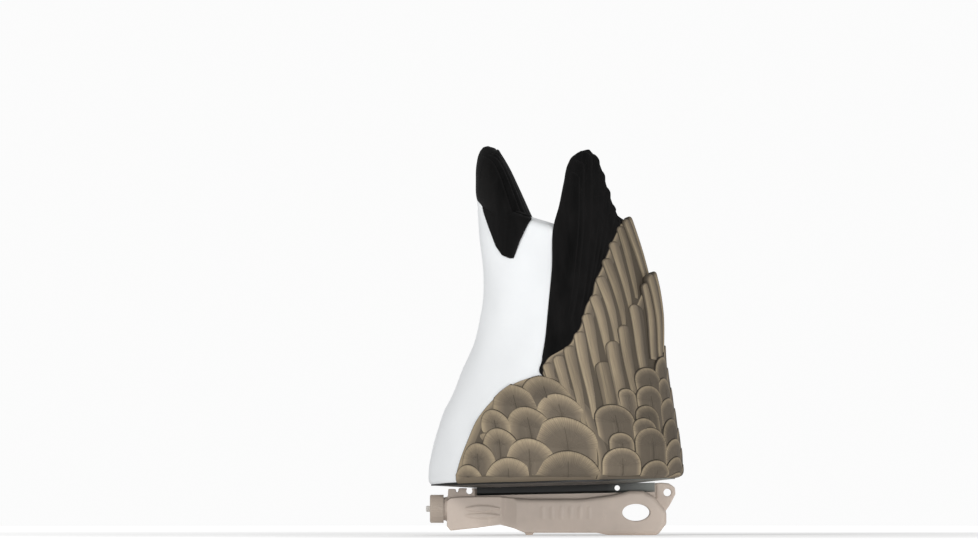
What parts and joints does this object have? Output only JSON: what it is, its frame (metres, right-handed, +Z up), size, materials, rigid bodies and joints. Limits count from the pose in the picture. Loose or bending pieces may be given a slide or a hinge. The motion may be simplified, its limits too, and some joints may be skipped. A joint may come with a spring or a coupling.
{
  "type": "tip-up goose decoy",
  "caption": "Floating goose decoy feeding head-down: hollow rump with folded wings and tail, on a fillable bottle keel with a screw cap, carry handle and line holes.",
  "frame": {"origin": "on the ground under the middle of the whole decoy", "axes": "+Z up, +X towards the bird's back and the keel's handle, -X towards its belly and the screw cap, +Y the bird's left side"},
  "size_m": [0.276, 0.226, 0.4167],
  "materials": {
    "white_paint": "matte",
    "brown_feathers": "matte",
    "black_flock": "matte",
    "black_hull": "satin",
    "tan_keel": "satin",
    "tan_cap": "satin",
    "white_nylon": "satin",
    "gasket_rubber": "matte",
    "screw_steel": "satin",
    "sand": "matte"
  },
  "bodies": {
    "decoy": {"left_body_shell": "white_paint", "right_body_shell": "white_paint", "left_wing": "brown_feathers", "right_wing": "brown_feathers", "tail_fan": "black_flock", "hull_pan": "black_hull", "keel_bottle": "tan_keel", "keel_neck": "tan_keel", "keel_handle": "tan_keel", "keel_screws": "screw_steel", "sand_ballast": "sand"},
    "gasket": {"cap_gasket": "gasket_rubber"},
    "cap": {"keel_cap": "tan_cap"},
    "vent_plug": {"cap_vent_plug": "white_nylon"}
  },
  "joints": [
    {"name": "cap_travel", "type": "slide", "parent": "decoy", "child": "gasket", "axis": [-1, 0, 0], "range_m": [0, 0.008]},
    {"name": "cap_turn", "type": "hinge", "parent": "gasket", "child": "cap", "pos_m": [-0.127, 0, 0.028], "axis": [-1, 0, 0], "range_deg": [0, 720]},
    {"name": "vent_plug_pull", "type": "slide", "parent": "cap", "child": "vent_plug", "axis": [-1, 0, 0], "range_m": [0, 0.005]}
  ],
  "couplings": [
    {"joint": "cap_travel", "follows": "cap_turn", "m_per_rad": 0.00063662}
  ]
}
